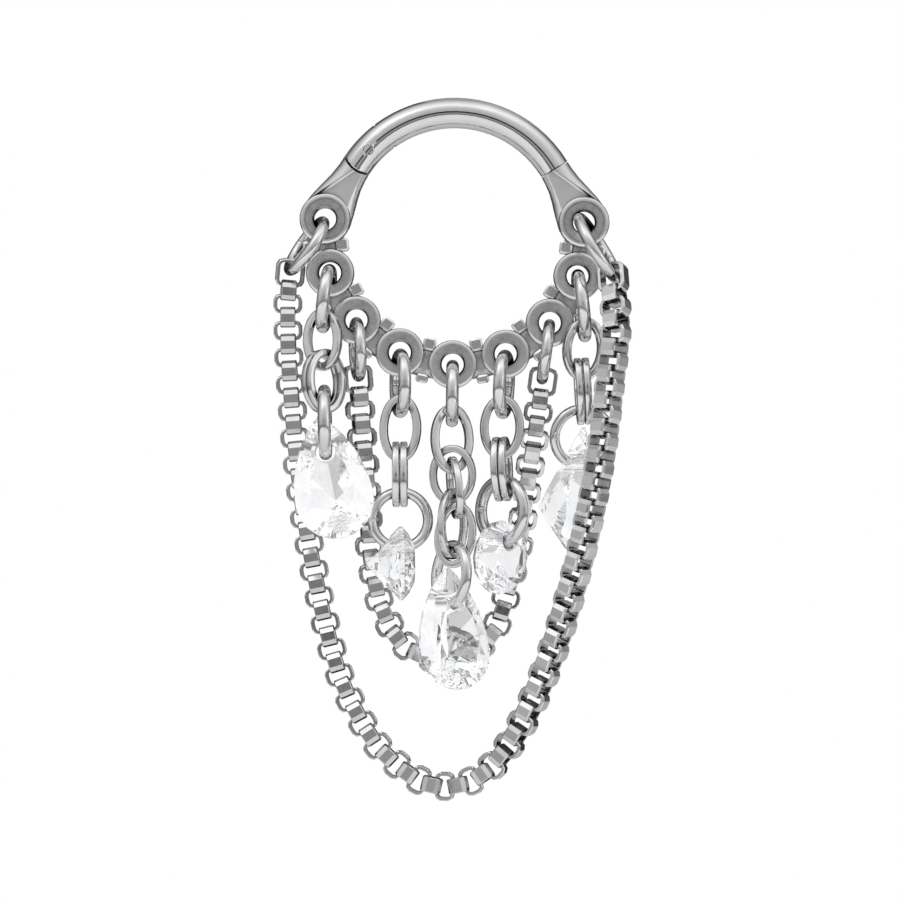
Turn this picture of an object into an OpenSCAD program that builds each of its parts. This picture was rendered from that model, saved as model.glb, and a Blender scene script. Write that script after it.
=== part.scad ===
// Hinged piercing hoop with five stone drops and two draped box chains.
// Millimetres. +Z is up, -Y is the front. The origin is the top of the round bar's centreline.

/* [Hoop] */
// Inner diameter of the round bar
inner_d = 8; // [7.9:0.05:8.1]
// Thickness of the round bar
bar_d = 1.2; // [1.15:0.05:1.25]
// Place of the hinge pin on the hoop, in degrees from the right-hand side
hinge_angle = 138; // [137:0.5:139]
// Place of the seam where the bar closes, in degrees from the right-hand side
catch_angle = 32; // [31:0.5:33]

/* [Hinge] */
// Radius of the bar's rounded end about the pin
knuckle_r = 0.9; // [0.85:0.01:0.92]
// Thickness of the frame's tongue in the bar's slot
tongue_t = 0.4; // [0.35:0.05:0.45]
// Reach of the tongue from the pin
tongue_r = 0.98; // [0.96:0.01:1.0]
// Diameter of the pin
pin_d = 0.36; // [0.3:0.02:0.4]
// Running clearance between the bar and the frame
run_gap = 0.04; // [0.03:0.01:0.05]
// Running clearance of the pin in its bores
pin_gap = 0.02; // [0.01:0.01:0.04]
// Radius of the small dome that centres the closed bar
nib_r = 0.26; // [0.2:0.02:0.3]

/* [Eyelets] */
// Radius of the circle through the middles of the eyelets
eyelet_path_r = 5.12; // [5.1:0.01:5.14]
// Distance of that circle's centre below the hoop's
eyelet_path_drop = 0.185; // [0.17:0.005:0.2]
// Angle from one eyelet to the next
eyelet_pitch = 24; // [23.8:0.1:24.2]
// Outer diameter of an eyelet
eyelet_d = 1.92; // [1.86:0.02:1.94]
// Thickness of an eyelet
eyelet_t = 0.9; // [0.84:0.02:0.94]
// Diameter of the hole
hole_d = 0.92; // [0.92:0.01:0.96]
// Diameter of the hole's countersunk mouth
mouth_d = 1.18; // [1.14:0.02:1.22]
// Depth of the countersunk mouth
mouth_depth = 0.2; // [0.16:0.02:0.22]
// Bevel along the rim of an eyelet
rim_bevel = 0.08; // [0.04:0.02:0.1]
// Outer diameter of the two shoulders at their eyelets
shoulder_d = 2.06; // [2.0:0.02:2.1]
// Thickness of the two shoulders
shoulder_t = 1.0; // [0.96:0.02:1.04]
// Thickness of the web between two eyelets
web_t = 0.5; // [0.4:0.05:0.6]
// Width of the web between two eyelets
web_w = 1.24; // [1.1:0.02:1.3]

/* [Box chains] */
// Width of a box link across the chain
link_w = 1.08; // [1.06:0.01:1.1]
// Height of a box link along the chain
link_h = 0.795; // [0.79:0.005:0.8]
// Width of the strip that a box link is bent from
strip_w = 0.57; // [0.56:0.01:0.6]
// Thickness of a link's two side walls
wall_t = 0.1; // [0.08:0.01:0.1]
// Thickness of a link's two ends
end_t = 0.05; // [0.045:0.005:0.055]
// Number of links in the outer chain, an odd number
outer_links = 85; // [83:2:85]
// Number of links in the inner chain, an odd number
inner_links = 47; // [45:2:47]

/* [Stones] */
// Diameter of a round stone
round_d = 2.9; // [2.86:0.01:2.94]
// Width of a pear stone
pear_w = 3.1; // [3.06:0.01:3.14]
// Length of a pear stone
pear_l = 4.9; // [4.86:0.01:4.94]
// Height of the crown above the girdle
crown_h = 0.45; // [0.42:0.01:0.48]
// Depth of the pavilion below the girdle
pavilion_h = 1.3; // [1.26:0.01:1.34]
// Thickness of the girdle
girdle_t = 0.12; // [0.08:0.02:0.14]

/* [Hidden] */

$fn = 48;
bar_r = (inner_d + bar_d) / 2;
hoop_z = -bar_r;
path_z = hoop_z - eyelet_path_drop;
slot_r = tongue_r + 0.07;
slot_t = tongue_t + 0.06;
shoulder_angle = 150;
shoulder_mirror_angle = 30;
up = [0, 0, 1];
front_back = [0, 1, 0];

// Places on the hoop

function on_hoop(angle, radius = bar_r) = [radius * cos(angle), 0, hoop_z + radius * sin(angle)];
function eyelet_angle(number) = 270 + (number - 5) * eyelet_pitch;
function eyelet_at(number) =
    [eyelet_path_r * cos(eyelet_angle(number)), 0, path_z + eyelet_path_r * sin(eyelet_angle(number))];
hinge_at = on_hoop(hinge_angle);

module to_front() rotate([90, 0, 0]) children();

module plate(thick) to_front() linear_extrude(height = thick, center = true) children();

module hoop_arc(from, to) {
    translate([0, 0, hoop_z]) to_front() rotate([0, 0, from])
        rotate_extrude(angle = to - from) translate([bar_r, 0]) circle(d = bar_d);
}

// The part of a flat ring about the pin that lies on one side of it along the hoop
module beyond_pin(inner, outer, side) {
    translate(hinge_at) plate(2 * bar_d) rotate(hinge_angle) difference() {
        intersection() {
            circle(r = outer);
            translate([-outer, side > 0 ? 0 : -outer]) square([2 * outer, outer]);
        }
        circle(r = inner);
    }
}

module pin_shape(diameter, long) translate(hinge_at) to_front() cylinder(d = diameter, h = long, center = true);

module nib_ball(radius) {
    translate(on_hoop(catch_angle - 1.4)) sphere(r = radius);
}

module clicker_bar() {
    color("silver") difference() {
        hoop_arc(catch_angle, hinge_angle + 14);
        beyond_pin(knuckle_r, 2.2, 1);
        translate(hinge_at) to_front() cylinder(r = slot_r, h = slot_t, center = true);
        pin_shape(pin_d + 2 * pin_gap, 2 * bar_d);
        nib_ball(nib_r + run_gap);
    }
}

module hinge_pin() {
    color("gainsboro") pin_shape(pin_d, 1.12);
}

// The cast frame

module eyelet_disc(diameter, thick) {
    half = thick / 2;
    radius = diameter / 2;
    to_front() rotate_extrude() polygon([
        [0, -half], [radius - rim_bevel, -half], [radius, rim_bevel - half],
        [radius, half - rim_bevel], [radius - rim_bevel, half], [0, half]
    ]);
}

module eyelet_hole(recess) {
    flat = eyelet_t / 2;
    throat = flat - mouth_depth;
    spread = (mouth_d - hole_d) / 2 / mouth_depth;
    over = 0.01;
    to_front() rotate_extrude() polygon([
        [0, -flat - over], [mouth_d / 2 + over * spread, -flat - over], [hole_d / 2, -throat],
        [hole_d / 2, throat], [mouth_d / 2 + over * spread, flat + over], [0, flat + over]
    ]);
    if (recess) {
        for (side = [-1, 1]) {
            translate([0, side * flat, 0]) rotate([side * -90, 0, 0]) cylinder(d = eyelet_d - 0.2, h = 0.3);
        }
    }
}

module shoulder(number, angle) {
    hull() {
        translate(on_hoop(angle)) rotate([0, -angle, 0]) cylinder(d = bar_d + 0.03, h = 0.02, center = true, $fn = 32);
        translate(eyelet_at(number)) to_front() {
            cylinder(d = shoulder_d, h = shoulder_t - 2 * rim_bevel, center = true, $fn = 32);
            cylinder(d = shoulder_d - 2 * rim_bevel, h = shoulder_t, center = true, $fn = 32);
        }
    }
}

module nub(angle, radius, high, wide, thick) {
    corner = 0.1;
    translate([radius * cos(angle), 0, path_z + radius * sin(angle)]) rotate([0, -angle, 0])
        for (step = [[thick - 0.12, 0], [thick, 0.06]]) {
            h = high / 2 - step[1];
            w = wide / 2 - step[1];
            plate(step[0]) polygon([
                [-h, corner - w], [corner - h, -w], [h - corner, -w], [h, corner - w],
                [h, w - corner], [h - corner, w], [corner - h, w], [-h, w - corner]
            ]);
        }
}

module web() {
    translate([0, 0, path_z]) to_front() rotate([0, 0, eyelet_angle(1)])
        rotate_extrude(angle = 8 * eyelet_pitch) translate([eyelet_path_r, 0]) square([web_w, web_t], center = true);
}

module hoop_frame() {
    color("darkgray") difference() {
        union() {
            hoop_arc(hinge_angle + 1, shoulder_angle + 1);
            intersection() {
                hoop_arc(hinge_angle - 14, hinge_angle + 3);
                translate(hinge_at) plate(tongue_t) square(4, center = true);
            }
            hoop_arc(shoulder_mirror_angle - 1, catch_angle - 0.5);
            shoulder(1, shoulder_angle);
            shoulder(9, shoulder_mirror_angle);
            web();
            for (number = [2:8]) translate(eyelet_at(number)) eyelet_disc(eyelet_d, eyelet_t);
            for (gap = [1:8]) {
                nub(eyelet_angle(gap + 0.5), eyelet_path_r - 0.71, 0.42, 0.44, eyelet_t - 0.06);
                nub(eyelet_angle(gap + 0.5), eyelet_path_r + 0.68, 0.32, 0.48, eyelet_t - 0.16);
            }
            nib_ball(nib_r);
        }
        for (number = [1:9]) translate(eyelet_at(number)) eyelet_hole(number == 1 || number == 9);
        for (side = [-1, 1]) {
            translate(hinge_at + [0, side * (tongue_t / 2 + bar_d), 0]) to_front()
                cylinder(r = knuckle_r + run_gap, h = 2 * bar_d, center = true);
        }
        beyond_pin(tongue_r, 2.2, -1);
        pin_shape(pin_d + 2 * pin_gap, 2 * bar_d);
    }
}

// Rings and links. Each lies in the XZ plane about its own middle.

module round_ring(long, wire) {
    to_front() rotate_extrude() translate([(long - wire) / 2, 0]) circle(d = wire, $fn = 32);
}

function fuller(v) = sign(v) * pow(abs(v), 0.9);
function oval_outline(long, wide) =
    [for (k = [0:27]) [wide / 2 * fuller(cos(k * 360 / 28)), long / 2 * fuller(sin(k * 360 / 28))]];

module oval_band(long, wide, thick, axial) {
    plate(axial) difference() {
        polygon(oval_outline(long, wide));
        polygon(oval_outline(long - 2 * thick, wide - 2 * thick));
    }
}

module oval_link(long, wide, thick, axial) {
    bevel = 0.05;
    oval_band(long, wide, thick, axial - 2 * bevel);
    oval_band(long - 2 * bevel, wide - 2 * bevel, thick - 2 * bevel, axial);
}

// A hanging piece is given by rows of these columns:
// LONG over the wire, WIDE over the wire, THICK of the wire, TURN about its own upright,
// SWAY of its foot to the right, LEAN of its foot to the front, GAP above the wire that holds it,
// SIDE shift along its own normal, HOLDER row that it hangs in, or -1 for the eyelet
LONG = 0;
WIDE = 1;
THICK = 2;
TURN = 3;
SWAY = 4;
LEAN = 5;
GAP = 6;
SIDE = 7;
HOLDER = 8;

function hang_dir(row) =
    [cos(row[LEAN]) * sin(row[SWAY]), -sin(row[LEAN]), -cos(row[LEAN]) * cos(row[SWAY])];

// The normal of the ring's plane after its turn, lean and sway
function ring_normal(row) =
    let (t = row[TURN], l = -row[LEAN], s = -row[SWAY], n = [-sin(t), cos(t) * cos(l), cos(t) * sin(l)])
    [n[0] * cos(s) + n[2] * sin(s), n[1], -n[0] * sin(s) + n[2] * cos(s)];

// Top and foot of the ring's centreline
function ring_top(rows, index, eyelet) =
    let (row = rows[index], dir = hang_dir(row))
    row[HOLDER] < 0
        ? eyelet_at(eyelet) + dir * (hole_d / 2 - row[THICK] / 2 - row[GAP])
        : ring_foot(rows, row[HOLDER], eyelet)
            - dir * (row[THICK] / 2 + rows[row[HOLDER]][THICK] / 2 + row[GAP]);
function ring_foot(rows, index, eyelet) =
    ring_top(rows, index, eyelet) + hang_dir(rows[index]) * (rows[index][LONG] - rows[index][THICK]);

// Direction from the ring's middle to its side, the front side for a ring seen edge-on
function ring_side(row) =
    let (t = row[TURN], l = -row[LEAN], s = -row[SWAY], h = [cos(t), sin(t) * cos(l), sin(t) * sin(l)])
    [h[0] * cos(s) + h[2] * sin(s), h[1], -h[0] * sin(s) + h[2] * cos(s)];

// A place on the centreline of a round ring, by its angle from the foot
function ring_place(rows, eyelet, angle) =
    let (row = rows[0], radius = (row[LONG] - row[THICK]) / 2, middle = ring_top(rows, 0, eyelet) + hang_dir(row) * radius)
    middle + hang_dir(row) * radius * cos(angle) + ring_side(row) * radius * sin(angle);

module hang(row, at) {
    translate(at) rotate([-row[LEAN], -row[SWAY], 0]) rotate([0, 0, row[TURN]]) children();
}

module hanging_ring(rows, index, eyelet) {
    row = rows[index];
    middle = (ring_top(rows, index, eyelet) + ring_foot(rows, index, eyelet)) / 2;
    color("silver") hang(row, middle + ring_normal(row) * row[SIDE])
        if (row[LONG] == row[WIDE]) round_ring(row[LONG], row[THICK]);
        else oval_link(row[LONG], row[WIDE], row[THICK], row[THICK]);
}

// Rings in the eyelets that carry the two box chains
chain_wire = 0.45;
outer_left_rows = [[2.75, 2.75, chain_wire, -77, -34, 0, 0.1, 0, -1]];
outer_right_rows = [[3.22, 3.22, chain_wire, -100, 28.5, 24, 0.34, 0, -1]];
inner_left_rows = [[2.56, 2.56, chain_wire, -82, 2.5, -5, 0.14, 0, -1]];
inner_right_rows = [[2.6, 2.6, chain_wire, -90, -7, -7, 0.15, 0, -1]];

// Drops, from the eyelet down
jump_wire = 0.5;
link_wire = 0.32;
thin_wire = 0.28;
drop1_rows = [
    [2.74, 2.74, jump_wire, -95, -7.5, 15, 0.27, 0, -1],
    [2.46, 1.7, link_wire, -30, 3, 8, 0.1, 0, 0],
    [2.52, 1.86, thin_wire, 40, 2.5, 7, 0.24, -0.155, 1],
    [2.52, 1.86, thin_wire, 40, 2.5, 7, 0.24, 0.155, 1],
    [2.97, 2.97, jump_wire, -90, 2, 6, 0.34, 0, 2]
];
drop2_rows = [
    [2.74, 2.74, jump_wire, -80, 1.5, 5, 0.12, 0, -1],
    [2.68, 1.66, link_wire, -12, 0, 6, 0.1, 0, 0],
    [2.58, 1.85, thin_wire, -91, 1, 6, 0.22, -0.155, 1],
    [2.58, 1.85, thin_wire, -91, 1, 6, 0.22, 0.155, 1],
    [2.58, 2.58, 0.4, 4, 1.6, 6, 0.1, 0, 2]
];
drop3_rows = [
    [2.66, 2.66, jump_wire, -90, 0, 7, 0.14, 0, -1],
    [2.77, 1.75, link_wire, 20, 1, 10, 0.08, 0, 0],
    [2.36, 1.9, thin_wire, -19, 1, 2, 0.54, 0.06, 1],
    [2.5, 1.85, thin_wire, -77, 7.5, 14, 0.08, 0.02, 1],
    [2.82, 1.85, thin_wire, -124, -0.8, 8, 0.11, 0.05, 2],
    [2.58, 1.66, thin_wire, -17, -6.9, 1.4, 0.08, 0.07, 3],
    [2.78, 2.78, 0.42, -60, 0.2, 9, 0.06, 0.035, 4]
];
drop4_rows = [
    [2.74, 2.74, jump_wire, -100, -2.5, 4, 0.13, 0, -1],
    [2.54, 1.74, link_wire, 10, -1, 3, 0.12, 0, 0],
    [2.54, 1.88, thin_wire, -101, 3.4, 1, 0.3, -0.155, 1],
    [2.54, 1.88, thin_wire, -101, 3.4, 1, 0.3, 0.155, 1],
    [2.89, 2.89, 0.48, -46, -1.9, -1, 0.3, 0, 2]
];
drop5_rows = [
    [2.9, 2.9, jump_wire, -88, 7.8, 11, 0.22, 0, -1],
    [2.5, 1.82, link_wire, 24, -3.2, -2, 0.13, 0, 0],
    [2.64, 1.88, thin_wire, -88, 4, -6, 0.31, -0.155, 1],
    [2.64, 1.88, thin_wire, -88, 4, -6, 0.31, 0.155, 1],
    [2.64, 2.64, 0.4, 12, -7, -7, 0.14, 0, 2]
];

// Cut stones. The girdle lies in the XY plane, the table faces +Z and the hole's end points to +Y.

table_share = 0.56;
crown_mid_share = 0.8;
crown_mid_rise = 0.56;
pavilion_mid_share = 0.27;
pavilion_mid_drop = 0.77;
stone_hole_d = 0.8;

// Half the width of the pear at a height above the middle of its round end
function pear_half(y) = pear_w / 2 * pow(1 - pow(min(y / (pear_l - pear_w / 2), 1), 2), 0.85);
tip_y = pear_l - pear_w / 2;
function round_outline(count, start) =
    [for (k = [0:count - 1]) round_d / 2 * [cos(start + k * 360 / count), sin(start + k * 360 / count)]];
function pear_outline() = concat(
    [for (k = [0:10]) pear_w / 2 * [cos(180 + k * 18), sin(180 + k * 18)]],
    [for (share = [0.25, 0.5, 0.72, 0.9, 0.99]) [pear_half(share * tip_y), share * tip_y]],
    [for (share = [0.99, 0.9, 0.72, 0.5, 0.25]) [-pear_half(share * tip_y), share * tip_y]]
);
function flat_copy(points, share, height, lift = 0) = [for (p = points) [p[0] * share, p[1] * share + lift, height]];
function every_other(points, first) = [for (k = [first:2:len(points) - 1]) points[k]];

module cut_stone(girdle, table_points, mid_points, table_lift, hole_y) {
    half = girdle_t / 2;
    points = concat(
        flat_copy(girdle, 1, half),
        flat_copy(girdle, 1, -half),
        flat_copy(table_points, table_share, half + crown_h, table_lift),
        flat_copy(mid_points, crown_mid_share, half + crown_mid_rise * crown_h, table_lift * 0.45),
        flat_copy(mid_points, pavilion_mid_share, -half - pavilion_mid_drop * pavilion_h),
        [[0, 0, -half - pavilion_h]]
    );
    difference() {
        hull() polyhedron(points = points, faces = [[for (k = [0:len(points) - 1]) k]]);
        translate([0, hole_y, 0]) cylinder(d = stone_hole_d, h = 2 * (crown_h + pavilion_h), center = true);
    }
}

round_hole_y = round_d / 2 - 0.78;
pear_hole_y = tip_y - 1.48;

module round_stone() {
    cut_stone(round_outline(16, 0), round_outline(8, 22.5), round_outline(8, 0), 0, round_hole_y);
}

module pear_stone() {
    outline = pear_outline();
    cut_stone(outline, every_other(outline, 0), every_other(outline, 1), 0.3, pear_hole_y);
}

// A stone hangs by its hole on the foot of its ring
module hanging_stone(rows, eyelet, sway, lean, hole_y) {
    last = len(rows) - 1;
    row = rows[last];
    foot = ring_foot(rows, last, eyelet) - hang_dir(row) * 0.05;
    color("aliceblue", 0.6) translate(foot) rotate([-lean, -sway, 0]) rotate([0, 0, row[TURN]])
        rotate([90, 0, 90]) translate([0, -hole_y, 0]) children();
}

// Box chains. Every other link is turned by a quarter.

function unit(v) = v / norm(v);
function spline(p0, p1, p2, p3, t) =
    (2 * p1 + (p2 - p0) * t + (2 * p0 - 5 * p1 + 4 * p2 - p3) * t * t + (3 * p1 - p0 - 3 * p2 + p3) * t * t * t) / 2;
SPLINE_STEPS = 12;
function smooth_route(route) =
    let (n = len(route), ends = concat([2 * route[0] - route[1]], route, [2 * route[n - 1] - route[n - 2]]))
    concat(
        [for (i = [0:n - 2]) for (k = [0:SPLINE_STEPS - 1])
            spline(ends[i], ends[i + 1], ends[i + 2], ends[i + 3], k / SPLINE_STEPS)],
        [route[n - 1]]
    );
function place(p) = [p[0], p[1], p[2]];
function gap_of(points, i) = i + 1 < len(points) ? norm(place(points[i + 1]) - place(points[i])) : 0;
function run_lengths(points) =
    [for (i = 0, run = 0; i < len(points); run = run + gap_of(points, i), i = i + 1) run];
function last_before(runs, distance, low, high) =
    high - low <= 1 ? low
    : let (middle = floor((low + high) / 2))
        runs[middle] <= distance
            ? last_before(runs, distance, middle, high)
            : last_before(runs, distance, low, middle);
function along(points, runs, distance) =
    let (i = last_before(runs, distance, 0, len(runs) - 1), share = (distance - runs[i]) / (runs[i + 1] - runs[i]))
    points[i] + (points[i + 1] - points[i]) * share;

module link_outline(half_w, low, high, cut_w, cut_h) {
    polygon([
        [-half_w, low + cut_h], [cut_w - half_w, low], [half_w - cut_w, low], [half_w, low + cut_h],
        [half_w, high - cut_h], [half_w - cut_w, high], [cut_w - half_w, high], [-half_w, high - cut_h]
    ]);
}

// A bent strip that opens along Y. The end link is longer, because a ring's wire goes through it too.
module box_link(extra_low, extra_high) {
    half_h = link_h / 2;
    low = -half_h - extra_low;
    high = half_h + extra_high;
    plate(strip_w) difference() {
        link_outline(link_w / 2, low, high, 0.13, 0.15);
        link_outline(link_w / 2 - wall_t, low + end_t, high - end_t, 0.05, 0.07);
    }
}

// Sets its child upright along the chain, with its front turned by the twist
module on_route(at, dir, twist) {
    across = unit(front_back - dir * (front_back * dir));
    side = cross(across, dir);
    multmatrix([
        [side[0], across[0], dir[0], at[0]],
        [side[1], across[1], dir[1], at[1]],
        [side[2], across[2], dir[2], at[2]],
        [0, 0, 0, 1]
    ]) rotate([0, 0, twist]) children();
}

end_link_extra = 0.32;

module box_chain(route, links, last_extra) {
    points = smooth_route(route);
    runs = run_lengths(points);
    pitch = runs[len(runs) - 1] / (links - 1);
    echo(chain_pitch = pitch);
    for (k = [0:links - 1]) {
        here = along(points, runs, min(k * pitch, runs[len(runs) - 1] - 0.0001));
        before = along(points, runs, max((k - 0.5) * pitch, 0));
        after = along(points, runs, min((k + 0.5) * pitch, runs[len(runs) - 1] - 0.0001));
        on_route(place(here), unit(place(after) - place(before)), here[3] + (k % 2) * 90)
            box_link(k == 0 ? end_link_extra : 0, k == links - 1 ? last_extra : 0);
    }
}

// The end link's middle lies this far past the middle of the ring's wire
end_link_reach = 0.27;

function chain_start(rows, eyelet, angle, twist) =
    concat(ring_place(rows, eyelet, angle) - up * end_link_reach, [twist]);

// Points on each chain's route: X, Y, Z and the twist in degrees
outer_route = concat(
    [chain_start(outer_left_rows, 1, 0, -6)],
    [
        [-6.52, 0.1, -7.6, -3], [-6.47, 0.25, -9.5, 0], [-6.32, 0.4, -11.5, 0], [-6.12, 0.5, -13.5, 0],
        [-5.85, 0.55, -15.5, 0], [-5.48, 0.55, -17.5, 0], [-4.98, 0.5, -19.8, 0], [-4.22, 0.4, -22.4, 0],
        [-3.1, 0.3, -24.5, 0], [-2.1, 0.25, -25.6, 0], [-0.85, 0.2, -26.4, 0], [0.5, 0.1, -26.45, -3],
        [1.75, 0, -25.7, -9],
        [2.9, -0.4, -24, -20], [4, -0.9, -21.3, -30], [4.8, -1.6, -18.5, -38], [5.4, -2, -15.8, -42],
        [5.85, -2.05, -13.2, -42], [6.15, -1.8, -10.5, -41], [6.36, -1.7, -8.4, -35]
    ],
    [chain_start(outer_right_rows, 9, 0, -24)]
);
inner_route = concat(
    [chain_start(inner_left_rows, 3, 0, -9)],
    [
        [-3.55, 0.35, -12.6, -9], [-3.4, 0.5, -14.2, -8], [-3.28, 0.6, -15.8, -6], [-3.15, 0.75, -17.4, -4],
        [-2.85, 0.85, -19, -2], [-2.46, 0.9, -20, 0], [-2, 0.95, -20.77, 0], [-1.2, 1, -21.35, 0],
        [-0.25, 1.05, -21.55, 0], [0.7, 1.1, -21.35, 0], [1.5, 1.25, -20.77, 0], [1.96, 1.35, -20, 0],
        [2.36, 1.42, -18.6, 0], [2.7, 1.38, -17.1, 0],
        [2.93, 1.1, -15.4, 0], [3.1, 0.8, -14, 0], [3.28, 0.5, -12.7, 0]
    ],
    [chain_start(inner_right_rows, 7, 0, 0)]
);

module outer_box_chain() color("gray") box_chain(outer_route, outer_links, 0.4);

module inner_box_chain() color("gray") box_chain(inner_route, inner_links, end_link_extra);

hoop_frame();
clicker_bar();
hinge_pin();
hanging_ring(outer_left_rows, 0, 1);  // outer_ring_left
hanging_ring(outer_right_rows, 0, 9);  // outer_ring_right
hanging_ring(inner_left_rows, 0, 3);  // inner_ring_left
hanging_ring(inner_right_rows, 0, 7);  // inner_ring_right
outer_box_chain();
inner_box_chain();
hanging_ring(drop1_rows, 0, 2);  // drop1_jump_ring
hanging_ring(drop1_rows, 1, 2);  // drop1_oval_link
hanging_ring(drop1_rows, 2, 2);  // drop1_thin_ring_a
hanging_ring(drop1_rows, 3, 2);  // drop1_thin_ring_b
hanging_ring(drop1_rows, 4, 2);  // drop1_stone_ring
hanging_stone(drop1_rows, 2, 11.8, 5, pear_hole_y) pear_stone();  // drop1_pear_stone
hanging_ring(drop2_rows, 0, 4);  // drop2_jump_ring
hanging_ring(drop2_rows, 1, 4);  // drop2_oval_link
hanging_ring(drop2_rows, 2, 4);  // drop2_thin_ring_a
hanging_ring(drop2_rows, 3, 4);  // drop2_thin_ring_b
hanging_ring(drop2_rows, 4, 4);  // drop2_stone_ring
hanging_stone(drop2_rows, 4, 1.6, 6, round_hole_y) round_stone();  // drop2_round_stone
hanging_ring(drop3_rows, 0, 5);  // drop3_jump_ring
hanging_ring(drop3_rows, 1, 5);  // drop3_oval_link
hanging_ring(drop3_rows, 2, 5);  // drop3_thin_ring_a
hanging_ring(drop3_rows, 3, 5);  // drop3_thin_ring_b
hanging_ring(drop3_rows, 4, 5);  // drop3_thin_ring_c
hanging_ring(drop3_rows, 5, 5);  // drop3_thin_ring_d
hanging_ring(drop3_rows, 6, 5);  // drop3_stone_ring
hanging_stone(drop3_rows, 5, 5.8, 13, pear_hole_y) pear_stone();  // drop3_pear_stone
hanging_ring(drop4_rows, 0, 6);  // drop4_jump_ring
hanging_ring(drop4_rows, 1, 6);  // drop4_oval_link
hanging_ring(drop4_rows, 2, 6);  // drop4_thin_ring_a
hanging_ring(drop4_rows, 3, 6);  // drop4_thin_ring_b
hanging_ring(drop4_rows, 4, 6);  // drop4_stone_ring
hanging_stone(drop4_rows, 6, -1.9, -1, round_hole_y) round_stone();  // drop4_round_stone
hanging_ring(drop5_rows, 0, 8);  // drop5_jump_ring
hanging_ring(drop5_rows, 1, 8);  // drop5_oval_link
hanging_ring(drop5_rows, 2, 8);  // drop5_thin_ring_a
hanging_ring(drop5_rows, 3, 8);  // drop5_thin_ring_b
hanging_ring(drop5_rows, 4, 8);  // drop5_stone_ring
hanging_stone(drop5_rows, 8, -7, -7, pear_hole_y) pear_stone();  // drop5_pear_stone
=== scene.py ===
"""Looks of a hinged piercing hoop: its finishes, its modelled pieces, the studio and the camera.

The pieces are modelled in millimetres about the hoop's own frame, and brought to metres when they are done.
"""

import logging
import math
from dataclasses import dataclass, replace
from enum import Enum
from typing import Callable, Sequence

import bpy
from mathutils import Matrix, Vector


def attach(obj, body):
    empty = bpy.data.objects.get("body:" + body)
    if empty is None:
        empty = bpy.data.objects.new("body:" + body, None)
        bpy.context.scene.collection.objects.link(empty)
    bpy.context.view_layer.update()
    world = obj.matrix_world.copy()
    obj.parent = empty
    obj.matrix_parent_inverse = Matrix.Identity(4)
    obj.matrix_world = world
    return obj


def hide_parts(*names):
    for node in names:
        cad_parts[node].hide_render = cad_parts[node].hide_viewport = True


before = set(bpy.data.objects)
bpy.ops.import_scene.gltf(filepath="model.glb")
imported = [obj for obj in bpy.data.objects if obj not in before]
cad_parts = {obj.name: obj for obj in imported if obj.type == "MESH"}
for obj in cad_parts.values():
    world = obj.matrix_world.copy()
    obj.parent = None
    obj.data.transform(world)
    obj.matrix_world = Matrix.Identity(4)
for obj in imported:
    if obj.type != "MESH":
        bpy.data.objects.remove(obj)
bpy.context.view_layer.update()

# A millimetre in metres
MM = 0.001
# Points closer than this are merged
MERGE = 0.0005
# How far off a plane a part may lie and still count as in it
NEAR = 1e-4
# The angle in degrees past which an edge stays sharp
CRISP = 32.0
# The left and right side, or the front and back
BOTH = (-1.0, 1.0)
ORIGIN = (0.0, 0.0, 0.0)
EVEN = (1.0, 1.0, 1.0)
WHITE = (1.0, 1.0, 1.0, 1.0)
UPRIGHT = (math.pi / 2, 0.0, 0.0)

Piece = bpy.types.Object
Socket = bpy.types.NodeSocket
Inputs = dict[str | int, object]
Triple = tuple[float, float, float]
Stops = tuple[tuple[float, float], ...]

log = logging.getLogger("piercing_hoop")


class Pick(Enum):
    """What an edit selects."""

    POINTS = "VERT"
    EDGES = "EDGE"
    FACES = "FACE"


class Join(Enum):
    """How two solids are joined."""

    WELD = "UNION"
    CUT = "DIFFERENCE"
    KEEP_SHARED = "INTERSECT"


class Slot(Enum):
    """Material slots of the record."""

    FRAME = "metal_frame"
    BAR = "metal_bar"
    RINGS = "metal_rings"
    CHAIN = "metal_chain"
    STONE = "stone"


# Places


def shift(x: float = 0.0, y: float = 0.0, z: float = 0.0) -> Matrix:
    """Makes a move to the right, to the back and up."""
    return Matrix.Translation((x, y, z))


def turn(degrees: float, axis: str) -> Matrix:
    """Makes a turn about an axis through the origin."""
    return Matrix.Rotation(math.radians(degrees), 4, axis)


def set_on(x: Vector, y: Vector, z: Vector, at: Vector) -> Matrix:
    """Makes a place at a point, with its own X, Y and Z along three directions."""
    columns = [(*direction, 0.0) for direction in (x, y, z)]
    return Matrix([*columns, (*at, 1.0)]).transposed()


# Modelling


def deselect() -> None:
    """Leaves edit mode and deselects everything."""
    if bpy.context.object and bpy.context.object.mode != "OBJECT":
        bpy.ops.object.mode_set(mode="OBJECT")
    bpy.ops.object.select_all(action="DESELECT")


def use(*pieces: Piece) -> None:
    """Selects pieces and makes the first one active.

    Args:
        pieces: The pieces to work on.
    """
    deselect()
    for piece in pieces:
        piece.select_set(True)
    bpy.context.view_layer.objects.active = pieces[0]


def added(name: str) -> Piece:
    """Names the primitive that was just added and applies its turn.

    Args:
        name: The name it gets.

    Returns:
        The primitive.
    """
    piece = bpy.context.object
    piece.name = piece.data.name = name
    use(piece)
    bpy.ops.object.transform_apply(location=True, rotation=True, scale=True)
    return piece


def cylinder(name: str, radius: float, depth: float, at: Sequence[float] = ORIGIN, sides: int = 72) -> Piece:
    """Adds a cylinder that lies along Y.

    Args:
        name: The name it gets.
        radius: Its radius.
        depth: Its length.
        at: Its middle.
        sides: The number of its sides.

    Returns:
        The cylinder.
    """
    deselect()
    bpy.ops.mesh.primitive_cylinder_add(
        vertices=sides, radius=radius, depth=depth, rotation=UPRIGHT, location=at
    )
    return added(name)


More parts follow.
